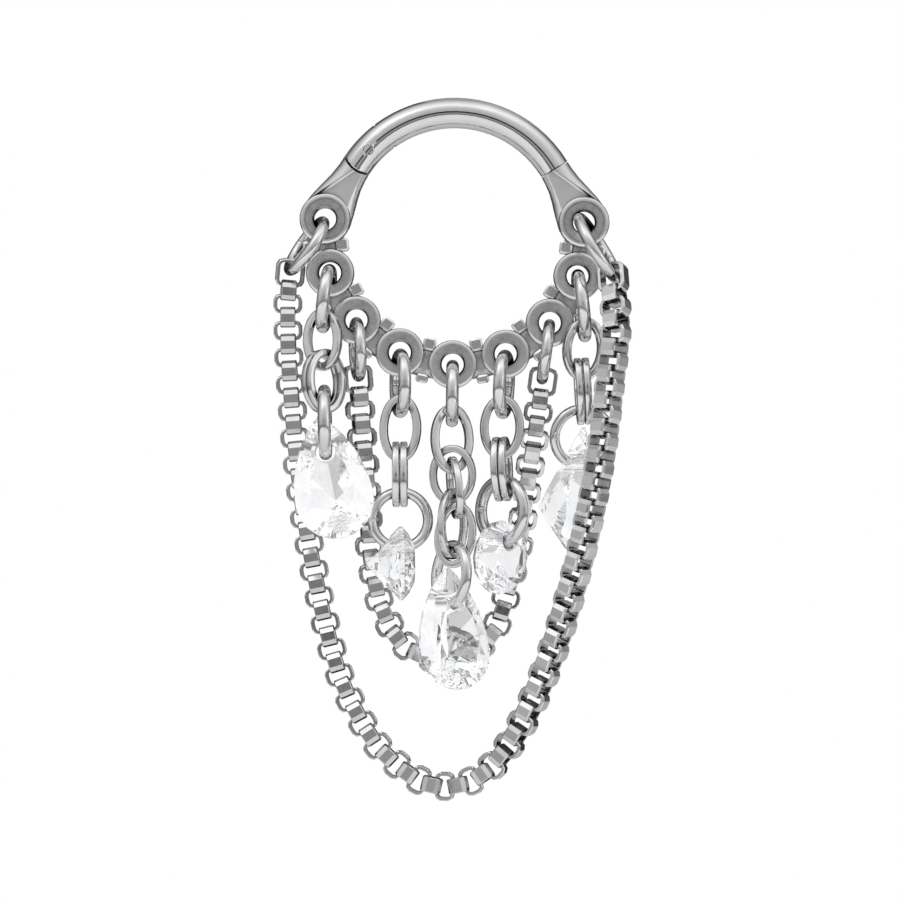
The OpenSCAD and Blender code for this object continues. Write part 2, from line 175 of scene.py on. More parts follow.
def block(name: str, size: Sequence[float], at: Sequence[float] = ORIGIN) -> Piece:
    """Adds a block.

    Args:
        name: The name it gets.
        size: Its size along X, Y and Z.
        at: Its middle.

    Returns:
        The block.
    """
    deselect()
    bpy.ops.mesh.primitive_cube_add(size=1.0, scale=size, location=at)
    return added(name)


def anywhere(middle: Vector) -> bool:
    """Tells that a part is selected wherever it lies."""
    return True


def edit(piece: Piece, pick: Pick, test: Callable[[Vector], bool] = anywhere) -> None:
    """Opens a piece in edit mode with some of its parts selected.

    Args:
        piece: The piece.
        pick: The kind of part.
        test: Tells from a part's middle whether it is selected.
    """
    use(piece)
    bpy.ops.object.mode_set(mode="EDIT")
    bpy.ops.mesh.select_mode(type=pick.value)
    bpy.ops.mesh.select_all(action="DESELECT")
    bpy.ops.object.mode_set(mode="OBJECT")
    points = piece.data.vertices
    if pick is Pick.FACES:
        for face in piece.data.polygons:
            face.select = test(face.center)
    elif pick is Pick.EDGES:
        for edge in piece.data.edges:
            start, end = edge.vertices
            edge.select = test((points[start].co + points[end].co) / 2)
    else:
        for point in points:
            point.select = test(point.co)
    bpy.ops.object.mode_set(mode="EDIT")


def close_edit() -> None:
    """Leaves edit mode."""
    bpy.ops.object.mode_set(mode="OBJECT")


def extrude(x: float = 0.0, y: float = 0.0, z: float = 0.0) -> None:
    """Extrudes what is selected."""
    bpy.ops.mesh.extrude_region_move(TRANSFORM_OT_translate={"value": (x, y, z)})


def stretch(x: float = 1.0, y: float = 1.0, z: float = 1.0) -> None:
    """Scales what is selected about the origin."""
    bpy.ops.transform.resize(value=(x, y, z), center_override=ORIGIN)


def seal(piece: Piece, merge: float = MERGE) -> None:
    """Merges doubles, closes open ends and turns all faces outwards.

    Args:
        piece: The piece.
        merge: The distance within which points are merged.
    """
    edit(piece, Pick.POINTS)
    bpy.ops.mesh.remove_doubles(threshold=merge)
    bpy.ops.mesh.fill_holes(sides=0)
    bpy.ops.mesh.normals_make_consistent(inside=False)
    close_edit()


def fused(pieces: Sequence[Piece], name: str) -> Piece:
    """Joins pieces into one object.

    Args:
        pieces: The pieces.
        name: The new object's name.

    Returns:
        The joined object.
    """
    use(*pieces)
    bpy.ops.object.join()
    whole = bpy.context.object
    whole.name = whole.data.name = name
    return whole


def drop(piece: Piece) -> None:
    """Removes a piece that has been used up."""
    bpy.data.objects.remove(piece, do_unlink=True)


def combine(base: Piece, others: Sequence[Piece], how: Join) -> Piece:
    """Welds solids to a base, or cuts them from it.

    Args:
        base: The solid that is changed.
        others: The solids that change it. They are used up.
        how: The kind of joining.

    Returns:
        The base.
    """
    bench = bpy.data.collections.new("bench")
    bpy.context.scene.collection.children.link(bench)
    for other in others:
        bench.objects.link(other)
    use(base)
    step = base.modifiers.new("join", "BOOLEAN")
    step.operation = how.value
    step.solver = "EXACT"
    step.operand_type = "COLLECTION"
    step.collection = bench
    bpy.ops.object.modifier_apply(modifier=step.name)
    for other in others:
        drop(other)
    bpy.data.collections.remove(bench)
    return base


def copy_of(mould: Piece, place: Matrix) -> Piece:
    """Copies a piece, with a mesh of its own, to a place.

    Args:
        mould: The piece to copy.
        place: Where the copy goes.

    Returns:
        The copy.
    """
    twin = mould.copy()
    twin.data = mould.data.copy()
    twin.data.transform(place)
    bpy.context.scene.collection.objects.link(twin)
    return twin


def smooth(piece: Piece, degrees: float = CRISP) -> None:
    """Shades a piece smooth, but for edges that are sharper than an angle."""
    use(piece)
    bpy.ops.object.shade_smooth_by_angle(angle=math.radians(degrees))


# Finishes


class Wiring:
    """A tree of nodes, added to node by node."""

    def __init__(self, owner: bpy.types.ID) -> None:
        """Takes the nodes of a material or a world."""
        owner.use_nodes = True
        self.tree = owner.node_tree

    def feed(self, node: bpy.types.Node, inputs: Inputs) -> None:
        """Sets a node's inputs.

        Args:
            node: The node.
            inputs: For each input, by name or number, its value or the output that is linked to it.
        """
        for key, value in inputs.items():
            if isinstance(value, Socket):
                self.tree.links.new(value, node.inputs[key])
            else:
                node.inputs[key].default_value = value

    def add(self, kind: str, inputs: Inputs | None = None, **settings: object) -> bpy.types.Node:
        """Adds a node.

        Args:
            kind: The node's type.
            inputs: Its inputs, as feed takes them.
            settings: Its properties.

        Returns:
            The node.
        """
        node = self.tree.nodes.new(kind)
        for key, value in settings.items():
            setattr(node, key, value)
        self.feed(node, inputs or {})
        return node

    def fit(self, source: Socket, start: float, end: float, low: float, high: float) -> Socket:
        """Maps one range of numbers to another.

        Args:
            source: The number to map.
            start: Where its range starts.
            end: Where its range ends.
            low: What it becomes at the start.
            high: What it becomes at the end.

        Returns:
            The mapped number.
        """
        node = self.add("ShaderNodeMapRange", {
            "Value": source, "From Min": start, "From Max": end, "To Min": low, "To Max": high,
        })
        return node.outputs["Result"]


class Surface(Wiring):
    """The nodes of a material, with their shader."""

    FIRST_COLOUR, SECOND_COLOUR, MIXED_COLOUR = 6, 7, 2

    def __init__(self, name: str) -> None:
        """Starts a material.

        Args:
            name: The material's name.
        """
        self.material = bpy.data.materials.new(name)
        super().__init__(self.material)
        self.shader = next(node for node in self.tree.nodes if node.type == "BSDF_PRINCIPLED")

    def grain(self, scale: float, detail: float, along: Triple = EVEN) -> Socket:
        """Adds a noise on object coordinates in millimetres.

        Args:
            scale: Spots to the millimetre.
            detail: Octaves of the noise.
            along: Scale along each axis.

        Returns:
            The noise, from 0 to 1.
        """
        where = self.add("ShaderNodeTexCoord")
        mapping = self.add("ShaderNodeMapping", {
            "Vector": where.outputs["Object"], "Scale": [share / MM for share in along],
        })
        noise = self.add("ShaderNodeTexNoise", {
            "Vector": mapping.outputs["Vector"], "Scale": scale, "Detail": detail,
        })
        return noise.outputs["Fac"]

    def span(self, noise: Socket, low: float = 0.0, high: float = 1.0) -> Socket:
        """Spreads the middle of a noise, where nearly all of it lies, over a range."""
        return self.fit(noise, 0.3, 0.7, low, high)

    def painted_crevice_shade(self, reach: float, floor: float) -> Socket:
        """Paints shade into narrow gaps and corners: ambient occlusion darkens the colour there.

        Args:
            reach: How far away a neighbouring surface still counts, in millimetres.
            floor: The brightness that is left in the deepest corner.

        Returns:
            A factor from the floor to 1.
        """
        corner = self.add("ShaderNodeAmbientOcclusion", {"Distance": reach * MM}, samples=8)
        return self.fit(corner.outputs["AO"], 0.25, 0.85, floor, 1.0)

    def blend(self, factor: Socket, low: Sequence[float], high: Sequence[float]) -> Socket:
        """Mixes two colours.

        Args:
            factor: The share of the second colour.
            low: The first colour.
            high: The second colour.

        Returns:
            The mixed colour.
        """
        colours = {self.FIRST_COLOUR: (*low, 1.0), self.SECOND_COLOUR: (*high, 1.0)}
        node = self.add("ShaderNodeMix", {"Factor": factor, **colours}, data_type="RGBA")
        return node.outputs[self.MIXED_COLOUR]

    def bump(self, height: Socket, strength: float, depth: float) -> None:
        """Feeds a height to the shader's normal.

        Args:
            height: The height's source.
            strength: How much of it shows.
            depth: Its depth in millimetres.
        """
        node = self.add("ShaderNodeBump", {"Height": height, "Strength": strength, "Distance": depth * MM})
        self.feed(self.shader, {"Normal": node.outputs["Normal"]})


@dataclass(frozen=True)
class MetalFinish:
    """Grey body-jewellery metal, from mirror polish to a tumbled casting, with painted shade in its
    crevices.
    """

    name: str
    tone: tuple[float, float]
    rough: tuple[float, float]
    grain: float
    grain_depth: float = 0.0004
    grain_strength: float = 0.35
    along: Triple = EVEN
    # How far the painted shade in crevices reaches, in millimetres, and how dark it leaves the deepest
    # corner
    crevice_shade_reach: float = 0.22
    crevice_shade_floor: float = 0.03
    cloud: float = 1.1
    cloud_detail: float = 3.0
    grain_detail: float = 4.0
    cool: float = 1.01

    def material(self) -> bpy.types.Material:
        """Builds the metal's material.

        Returns:
            The material.
        """
        surface = Surface(self.name)
        dark, light = ((tone, tone, tone * self.cool) for tone in self.tone)
        tint = surface.blend(surface.span(surface.grain(self.cloud, self.cloud_detail)), dark, light)
        fine = surface.grain(self.grain, self.grain_detail, self.along)
        # Painted shade: ambient occlusion darkens the colour in gaps and corners
        crevice_shade = surface.painted_crevice_shade(self.crevice_shade_reach, self.crevice_shade_floor)
        shade = surface.add("ShaderNodeVectorMath", {0: tint, "Scale": crevice_shade}, operation="SCALE")
        surface.feed(surface.shader, {
            "Base Color": shade.outputs[0],
            "Metallic": 1.0,
            "Roughness": surface.span(fine, *self.rough),
        })
        surface.bump(fine, self.grain_strength, self.grain_depth)
        return surface.material


@dataclass(frozen=True)
class StoneFinish:
    """Clear cut stone with faint clouding under its facets, and a faint painted glow of its own."""

    name: str
    index: float
    cloud: float
    dim: Triple = (0.9, 0.91, 0.925)
    clear: Triple = (0.99, 0.99, 1.0)
    # The strength of the stone's painted glow: white light it gives off though it is no lamp
    painted_glow: float = 0.03
    cloud_detail: float = 3.0
    cloud_strength: float = 0.2
    cloud_depth: float = 0.004

    def material(self) -> bpy.types.Material:
        """Builds the stone's material.

        Returns:
            The material.
        """
        surface = Surface(self.name)
        cloud = surface.grain(self.cloud, self.cloud_detail)
        surface.feed(surface.shader, {
            "Base Color": surface.blend(surface.span(cloud), self.dim, self.clear),
            "Roughness": 0.0,
            "IOR": self.index,
            "Transmission Weight": 1.0,
            # Painted glow: the stone gives off faint white light
            "Emission Color": WHITE,
            "Emission Strength": self.painted_glow,
        })
        surface.bump(cloud, self.cloud_strength, self.cloud_depth)
        return surface.material


@dataclass(frozen=True)
class FloorFinish:
    """Pale matt card with a painted glow, strong towards the front and faint at the back, like a light
    table.
    """

    name: str = "pale_card"
    tone: float = 0.74
    mottle: float = 0.02
    # The painted glow at the card's front and at its back, and how far from the middle it changes
    front_glow: float = 0.45
    back_glow: float = 0.02
    glow_reach: float = 0.06
    fibre: float = 0.4
    fibre_detail: float = 3.0

    def material(self) -> bpy.types.Material:
        """Builds the floor's material.

        Returns:
            The material.
        """
        surface = Surface(self.name)
        fibre = surface.span(surface.grain(self.fibre, self.fibre_detail))
        where = surface.add("ShaderNodeTexCoord")
        axes = surface.add("ShaderNodeSeparateXYZ", {0: where.outputs["Object"]})
        reach = self.glow_reach
        # Painted glow: the card gives off light that fades from its front to its back
        painted_glow = surface.fit(axes.outputs["Y"], reach, -reach, self.back_glow, self.front_glow)
        surface.feed(surface.shader, {
            "Base Color": surface.blend(fibre, (self.tone - self.mottle,) * 3, (self.tone,) * 3),
            "Roughness": 0.9,
            "Emission Color": WHITE,
            "Emission Strength": painted_glow,
        })
        return surface.material


class Palette:
    """All finishes, built once."""

    # Where a metal sets its own reach, its painted shade in crevices reaches further into gaps
    FINISHES = {
        Slot.FRAME: MetalFinish("cast_grey_metal", (0.7, 0.79), (0.22, 0.28), 5.0, crevice_shade_reach=0.34),
        Slot.BAR: MetalFinish(
            "polished_bar_metal", (0.67, 0.73), (0.07, 0.11), 3.0, grain_depth=0.0003, along=(0.4, 1.0, 1.0)
        ),
        Slot.RINGS: MetalFinish("polished_ring_metal", (0.68, 0.76), (0.13, 0.18), 4.0),
        Slot.CHAIN: MetalFinish("polished_chain_metal", (0.65, 0.74), (0.12, 0.18), 5.0, crevice_shade_reach=0.3),
        Slot.STONE: StoneFinish("clear_cut_stone", 1.68, 1.6),
    }

    def __init__(self) -> None:
        """Builds the materials."""
        self.by_slot = {slot: finish.material() for slot, finish in self.FINISHES.items()}

    def dress(self, piece: Piece, slot: Slot) -> None:
        """Gives a piece the finish of a slot as its only material."""
        piece.data.materials.clear()
        piece.data.materials.append(self.by_slot[slot])


def hand_over(piece: Piece, node: str, slot: Slot, palette: Palette, body: str = "frame") -> None:
    """Brings a finished piece to metres, dresses it and lets it stand for its node.

    Args:
        piece: The finished piece, in millimetres.
        node: The node it replaces.
        slot: Its material slot.
        palette: The finishes.
        body: The body it rides on.
    """
    piece.data.transform(Matrix.Scale(MM, 4))
    piece.data.update()
    palette.dress(piece, slot)
    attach(piece, body)
    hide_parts(node)
    log.info("%s stands for %s, %d faces", piece.name, node, len(piece.data.polygons))


# The hoop


@dataclass(frozen=True)
class Section:
    """One cross-section of a shoulder, an oval square to the shoulder's run."""

    x: float
    z: float
    aim: float
    half_wide: float
    half_thick: float

    def place(self, mirror: float) -> Matrix:
        """Gives the oval's place.

        Args:
            mirror: -1 for the left shoulder, 1 for the right one.

        Returns:
            The matrix that sets a unit circle there.
        """
        away = math.radians(self.aim)
        run = Vector((mirror * math.cos(away), 0.0, math.sin(away)))
        across = Vector((-run.z, 0.0, run.x))
        place = set_on(across, run.cross(across), run, Vector((mirror * self.x, 0.0, self.z)))
        return place @ Matrix.Diagonal((self.half_wide, self.half_thick, 1.0, 1.0))


@dataclass(frozen=True)
class Disc:
    """The disc of an eyelet, with rounded rims."""

    radius: float
    thick: float
    edge: float

    def build(self) -> Piece:
        """Models the disc.

        Returns:
            The disc, about the origin.
        """
        disc = cylinder("disc", self.radius, self.thick)
        edit(disc, Pick.EDGES, lambda middle: abs(middle.y) > self.thick / 2 - NEAR)
        bpy.ops.mesh.bevel(offset=self.edge, segments=4, profile=0.6)
        close_edit()
        return disc


@dataclass(frozen=True)
class Hole:
    """What an eyelet's hole takes away: a bore, a countersink and a shallow round step at both faces."""

    lip_r: float = 0.43
    mouth_r: float = 0.5
    step_r: float = 0.55
    bore_y: float = 0.2
    mouth_y: float = 0.41
    step_y: float = 0.43
    end_y: float = 0.83

    def build(self) -> Piece:
        """Models the cutter.

        Returns:
            The cutter, about the origin.
        """
        profile = (
            (self.mouth_y, self.mouth_r), (self.step_y, self.mouth_r),
            (self.step_y, self.step_r), (self.end_y, self.step_r),
        )
        cutter = cylinder("hole_cutter", self.lip_r, 2 * self.bore_y)
        for side in BOTH:
            edit(cutter, Pick.FACES, lambda middle: middle.y * side > self.bore_y - NEAR)
            reached, radius = self.bore_y, self.lip_r
            for reach, wider in profile:
                extrude(y=side * (reach - reached))
                stretch(wider / radius, 1.0, wider / radius)
                reached, radius = reach, wider
            close_edit()
        seal(cutter, MERGE / 10)
        return cutter


@dataclass(frozen=True)
class Nub:
    """A prong nub between two eyelets, with a raised flat on its front and on its back."""

    outwards: float
    high: float
    wide: float
    thick: float
    corner: float = 0.11
    flank: float = 0.08
    raised: float = 0.05

    def build(self) -> Piece:
        """Models the nub.

        Returns:
            The nub about the origin, with its height along X.
        """
        nub = block("nub", (self.high, self.thick, self.wide))
        edit(nub, Pick.EDGES, lambda middle: abs(middle.y) < NEAR)
        bpy.ops.mesh.bevel(offset=self.corner, segments=2, profile=0.5)
        close_edit()
        edit(nub, Pick.FACES, lambda middle: abs(middle.y) > self.thick / 2 - NEAR)
        bpy.ops.mesh.inset(thickness=self.flank)
        stretch(y=1.0 + 2 * self.raised / self.thick)
        close_edit()
        return nub


@dataclass(frozen=True)
class Dish:
    """The flat that is scooped out of a shoulder's face, between its outer ridge and its inner edge.

    Its three points lie on the right shoulder's back.
    """

    ridge_top: Triple = (3.99, 0.41, -2.29)
    ridge_foot: Triple = (5.52, 0.17, -3.32)
    inner_foot: Triple = (4.34, 0.42, -4.7)
    long: float = 3.4
    wide: float = 2.6
    high: float = 1.0
    before: float = 0.3
    fillet: float = 0.12

    def build(self, mirror: float, side: float) -> Piece:
        """Models the slab that scoops the flat, with one rounded edge along the ridge.

        Args:
            mirror: -1 for the left shoulder, 1 for the right one.
            side: -1 for the front, 1 for the back.

        Returns:
            The slab in its place.
        """
        points = (self.ridge_top, self.ridge_foot, self.inner_foot)
        top, foot, inner = (Vector((mirror * x, side * y, z)) for x, y, z in points)
        run = (foot - top).normalized()
        out = run.cross(inner - top).normalized()
        out *= math.copysign(1.0, out.y * side)
        inward = out.cross(run)
        inward *= math.copysign(1.0, inward.dot(inner - top))
        middle = (self.long / 2 - self.before, self.wide / 2, self.high / 2)
        slab = block("dish_cutter", (self.long, self.wide, self.high), middle)
        edit(slab, Pick.EDGES, lambda at: abs(at.y) < NEAR and abs(at.z) < NEAR)
        bpy.ops.mesh.bevel(offset=self.fillet, segments=8)
        close_edit()
        slab.data.transform(set_on(run, inward, out, top))
        seal(slab)
        return slab


@dataclass
class HoopFrame:
    """The cast lower half: shoulders, nine eyelets, webs, nubs and the tongue of the hinge.

    Angles are in degrees, counted from the hoop's right-hand side over its top.
    """

    bar_r: float = 4.6
    wire_r: float = 0.6
    path_r: float = 5.12
    path_z: float = -4.785
    pitch: float = 24.0
    eyelets: int = 9
    hole_r: float = 0.46
    hole: Hole = Hole()
    disc: Disc = Disc(0.95, 0.9, 0.15)
    end_disc: Disc = Disc(1.0, 1.0, 0.16)
    end_face_r: float = 0.8
    end_face_y: float = 0.45
    nubs: tuple[Nub, ...] = (Nub(-0.7, 0.5, 0.52, 0.7), Nub(0.68, 0.34, 0.5, 0.6))
    web_high: float = 1.24
    web_thick: float = 0.56
    web_corner: float = 0.24
    dish: Dish = Dish()
    hinge_angle: float = 138.0
    hinge_foot: float = 151.0
    hinge_gap: float = 1.0
    tongue_span: tuple[float, float] = (-14.0, 3.0)
    tongue_t: float = 0.4
    tongue_r: float = 0.98
    knuckle_r: float = 0.99
    knuckle_t: float = 2.4
    bore_r: float = 0.2
    rivet_r: float = 0.18
    rivet_long: float = 1.6
    rivet_span: float = 5.0
    catch_foot: float = 29.0
    catch_angle: float = 31.5
    dome_angle: float = 30.6
    dome_r: float = 0.26
    sections: tuple[Section, ...] = (
        Section(3.93, -2.21, -58.7, 0.6, 0.6),
        Section(4.08, -2.46, -59.0, 0.615, 0.6),
        Section(4.3, -2.82, -60.0, 0.67, 0.585),
        Section(4.52, -3.2, -60.0, 0.78, 0.555),
        Section(4.74, -3.6, -61.0, 0.9, 0.525),
        Section(4.93, -3.95, -64.0, 0.98, 0.5),
        Section(5.06, -4.3, -70.0, 0.98, 0.47),
    )

    def on_hoop(self, degrees: float) -> Vector:
        """Gives the point on the bar's centreline at an angle."""
        away = math.radians(degrees)
        return Vector((self.bar_r * math.cos(away), 0.0, self.bar_r * math.sin(away) - self.bar_r))

    def eyelet_angle(self, number: float) -> float:
        """Gives an eyelet's angle, counted from the left."""
        return 270.0 + (number - (self.eyelets + 1) / 2) * self.pitch

    def eyelet(self, number: float, outwards: float = 0.0) -> Vector:
        """Gives the middle of an eyelet, or of a gap between two.

        Args:
            number: The eyelet, from 1 at the left. 1.5 is the gap after the first one.
            outwards: How far outside the eyelets' circle the point lies.

        Returns:
            The point.
        """
        away = math.radians(self.eyelet_angle(number))
        reach = self.path_r + outwards
        return Vector((reach * math.cos(away), 0.0, self.path_z + reach * math.sin(away)))

    def swept_bar(self, start: float, end: float) -> Piece:
        """Spins the round bar along the hoop, a step for every two degrees.

        Args:
            start: The first angle.
            end: The last angle.

        Returns:
            The closed solid.
        """
        deselect()
        bpy.ops.mesh.primitive_circle_add(vertices=48, radius=self.wire_r, fill_type="NGON")
        rod = added("bar_arc")
        rod.data.transform(shift(z=-self.bar_r) @ turn(-start, "Y") @ shift(self.bar_r))
        edit(rod, Pick.FACES)
        bpy.ops.mesh.spin(
            steps=max(4, round((end - start) / 2)),
            angle=math.radians(end - start),
            center=(0.0, 0.0, -self.bar_r),
            axis=(0.0, 1.0, 0.0),
        )
        close_edit()
        seal(rod)
        return rod

    def web(self) -> Piece:
        """Spins the web that joins the eyelets, with its corners broken.

        Returns:
            The web.
        """
        deselect()
        bpy.ops.mesh.primitive_plane_add(size=1.0)
        web = added("web")
        edit(web, Pick.POINTS)
        bpy.ops.mesh.bevel(offset=self.web_corner, segments=2, affect="VERTICES")
        close_edit()
        web.data.transform(
            shift(z=self.path_z) @ turn(-self.eyelet_angle(1), "Y") @ shift(self.path_r)
            @ Matrix.Diagonal((self.web_high, self.web_thick, 1.0, 1.0))
        )
        edit(web, Pick.FACES)
        bpy.ops.mesh.spin(
            steps=64,
            angle=math.radians((self.eyelets - 1) * self.pitch),
            center=(0.0, 0.0, self.path_z),
            axis=(0.0, 1.0, 0.0),
        )
        close_edit()
        seal(web)
        return web

    def shoulder(self, mirror: float) -> Piece:
        """Bridges the cross-sections of a shoulder, from the round bar to its eyelet.

        Args:
            mirror: -1 for the left shoulder, 1 for the right one.

        Returns:
            The shoulder.
        """
        rings = []
        for section in self.sections:
            deselect()
            bpy.ops.mesh.primitive_circle_add(vertices=48, radius=1.0, fill_type="NOTHING")
            ring = added("section")
            ring.data.transform(section.place(mirror))
            rings.append(ring)
        shoulder = fused(rings, "shoulder")
        edit(shoulder, Pick.EDGES)
        bpy.ops.mesh.bridge_edge_loops(number_cuts=2, interpolation="PATH", smoothness=0.6)
        close_edit()
        seal(shoulder)
        return shoulder

    def hinge_end(self) -> Piece:
        """Models the left end of the casting, with the tongue that goes into the bar's slot.

        What rounds the tongue's tip spares the tip's own radius and the casting's side of the pin.

        Returns:
            The hinge end.
        """
        pin = self.on_hoop(self.hinge_angle)
        wide, reach, deep, spared = 4.0, 2.2, 2.4, 2.3
        end = self.swept_bar(self.hinge_angle + self.hinge_gap, self.hinge_foot)
        tongue = self.swept_bar(*(self.hinge_angle + away for away in self.tongue_span))
        combine(tongue, [block("slab", (wide, self.tongue_t, wide), pin)], Join.KEEP_SHARED)
        combine(end, [tongue], Join.WELD)
        tip_cutter = cylinder("tip_cutter", reach, deep, pin)
        tip = cylinder("tip", self.tongue_r, deep + 0.2, pin)
        side = block("casting_side", (2 * spared, deep + 0.6, spared))
        side.data.transform(Matrix.Translation(pin) @ turn(-self.hinge_angle, "Y") @ shift(z=spared / 2))
        combine(tip_cutter, [tip, side], Join.CUT)
        return combine(end, [tip_cutter], Join.CUT)

    def hinge_cutters(self) -> list[Piece]:
        """Models the room for the bar's two knuckles and for the rivet.

        Returns:
            The cutters.
        """
        pin = self.on_hoop(self.hinge_angle)
        cutters = []
        for side in BOTH:
            beside = Vector((0.0, side * (self.tongue_t + self.knuckle_t) / 2, 0.0))
            cutters.append(cylinder("knuckle_cutter", self.knuckle_r, self.knuckle_t, pin + beside))
        return [*cutters, cylinder("rivet_bore", self.bore_r, 2 * self.tongue_t, pin, 32)]

    def catch_end(self) -> Piece:
        """Models the right end of the casting, with the small dome that centres the bar.

        Returns:
            The catch end.
        """
        end = self.swept_bar(self.catch_foot, self.catch_angle)
        deselect()
        bpy.ops.mesh.primitive_uv_sphere_add(
            segments=32, ring_count=16, radius=self.dome_r, location=self.on_hoop(self.dome_angle)
        )
        return combine(end, [added("dome")], Join.WELD)

    def row(self) -> list[Piece]:
        """Models the discs of the eyelets and the nubs between them.

        Returns:
            The pieces, each in its place.
        """
        pieces = []
        for number in range(1, self.eyelets + 1):
            disc = (self.end_disc if number in (1, self.eyelets) else self.disc).build()
            disc.data.transform(Matrix.Translation(self.eyelet(number)))
            pieces.append(disc)
        for number in range(1, self.eyelets):
            gap = number + 0.5
            for kind in self.nubs:
                nub = kind.build()
                place = Matrix.Translation(self.eyelet(gap, kind.outwards))
                nub.data.transform(place @ turn(-self.eyelet_angle(gap), "Y"))
                pieces.append(nub)
        return pieces

    def hole_cutters(self) -> list[Piece]:
        """Models the eyelets' holes, and the shallow round faces of the two end eyelets.

        Returns:
            The cutters, each in its place.
        """
        cutters = []
        for number in range(1, self.eyelets + 1):
            cutter = self.hole.build()
            cutter.data.transform(Matrix.Translation(self.eyelet(number)))
            cutters.append(cutter)
        deep = 0.3
        for number in (1, self.eyelets):
            for side in BOTH:
                middle = self.eyelet(number) + Vector((0.0, side * (self.end_face_y + deep / 2), 0.0))
                cutters.append(cylinder("face_cutter", self.end_face_r, deep, middle))
        return cutters

    def build(self) -> Piece:
        """Models the whole casting.

        Returns:
            The casting.
        """
        ends = [self.shoulder(-1.0), self.shoulder(1.0), self.hinge_end(), self.catch_end()]
        casting = combine(self.web(), ends, Join.WELD)
        dishes = [self.dish.build(mirror, side) for mirror in BOTH for side in BOTH]
        combine(casting, self.hinge_cutters() + dishes, Join.CUT)
        combine(casting, self.row(), Join.WELD)
        combine(casting, self.hole_cutters(), Join.CUT)
        casting.name = casting.data.name = "cast_hoop_frame"
        smooth(casting)
        return casting

    def rivet(self) -> Piece:
        """Models the hinge's rivet, its ends worked flush with the round bar.

        Returns:
            The rivet.
        """
        rivet = self.swept_bar(self.hinge_angle - self.rivet_span, self.hinge_angle + self.rivet_span)
        shank = cylinder("shank", self.rivet_r, self.rivet_long, self.on_hoop(self.hinge_angle), 48)
        combine(rivet, [shank], Join.KEEP_SHARED)
        rivet.name = rivet.data.name = "flush_rivet"
        smooth(rivet)
        return rivet


@dataclass
class ClickerBar:
    """The round hinged bar, refined from its own solid."""

    node: str = "clicker_bar"

    def build(self) -> Piece:
        """Copies the bar's solid, merges its triangles and smooths its round faces.

        Returns:
            The bar, in millimetres.
        """
        bar = copy_of(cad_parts[self.node], Matrix.Scale(1 / MM, 4))
        bar.parent = None
        for key in list(bar.keys()):
            if key.startswith("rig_"):
                del bar[key]
        bar.name = bar.data.name = "polished_bar"
        edit(bar, Pick.POINTS)
        bpy.ops.mesh.remove_doubles(threshold=MERGE)
        bpy.ops.mesh.tris_convert_to_quads()
        close_edit()
        smooth(bar)
        return bar


# What hangs from the eyelets


@dataclass(frozen=True)
class Hanging:
    """One ring or link: its size over the wire and the way it hangs in its holder.

    It is turned about its height, sways to the side and leans to the front, in degrees. Its holder is a row
    of its column, or -1 for the eyelet.
    """

    node: str
    long: float
    wide: float
    wire: float
    turned: float
    sway: float
    lean: float
    gap: float
    side: float = 0.0
    holder: int = -1
    twin_side: float = 0.155
    seam_wide: float = 0.014
    seam_deep: float = 0.012
    rounding: float = 0.24

    def down(self) -> Vector:
        """Gives the direction from its top to its foot."""
        sway, lean = math.radians(self.sway), math.radians(self.lean)
        return Vector((math.cos(lean) * math.sin(sway), -math.sin(lean), -math.cos(lean) * math.cos(sway)))

    def attitude(self) -> Matrix:
        """Gives its turn, lean and sway as one matrix."""
        return turn(-self.sway, "Y") @ turn(-self.lean, "X") @ turn(self.turned, "Z")

    def twins(self) -> list["Hanging"]:
        """Gives two rings side by side in its place, named with _a and _b."""
        places = (("_a", -self.twin_side), ("_b", self.twin_side))
        return [replace(self, node=self.node + letter, side=side) for letter, side in places]

    def at_seam(self, at: Vector) -> bool:
        """Tells whether a point of the ring lies in the plane of its seam."""
        return at.x < 0.6 * self.wire - (self.long - self.wire) / 2 and abs(at.z) < NEAR

    def round_ring(self) -> Piece:
        """Models a jump ring of round wire, closed by a fine seam at its back.

        Returns:
            The ring, upright about the origin.
        """
        deselect()
        bpy.ops.mesh.primitive_torus_add(
            major_radius=(self.long - self.wire) / 2, minor_radius=self.wire / 2,
            major_segments=72, minor_segments=20, rotation=UPRIGHT,
        )
        ring = added(self.node)
        edit(ring, Pick.EDGES, self.at_seam)
        bpy.ops.mesh.bevel(offset=self.seam_wide, segments=2)
        close_edit()
        edit(ring, Pick.POINTS, self.at_seam)
        bpy.ops.transform.shrink_fatten(value=-self.seam_deep)
        close_edit()
        return ring

    def oval_link(self) -> Piece:
        """Models a link of squarish wire with rounded edges.

        Returns:
            The link, upright about the origin.
        """
        deselect()
        bpy.ops.mesh.primitive_circle_add(vertices=56, radius=1.0, fill_type="NOTHING", rotation=UPRIGHT)
        link = added(self.node)
        edit(link, Pick.POINTS)
        stretch((self.wide - self.wire) / 2, 1.0, (self.long - self.wire) / 2)
        extrude(y=self.wire)
        bpy.ops.mesh.select_all(action="SELECT")
        bpy.ops.transform.translate(value=(0.0, -self.wire / 2, 0.0))
        bpy.ops.mesh.normals_make_consistent(inside=False)
        close_edit()
        wall = link.modifiers.new("wall", "SOLIDIFY")
        wall.thickness = self.wire
        wall.offset = 0.0
        wall.use_even_offset = True
        edge = link.modifiers.new("edge", "BEVEL")
        edge.width = self.wire * self.rounding
        edge.segments = 3
        edge.limit_method = "ANGLE"
        edge.angle_limit = math.radians(50)
        for step in ("wall", "edge"):
            bpy.ops.object.modifier_apply(modifier=step)
        return link


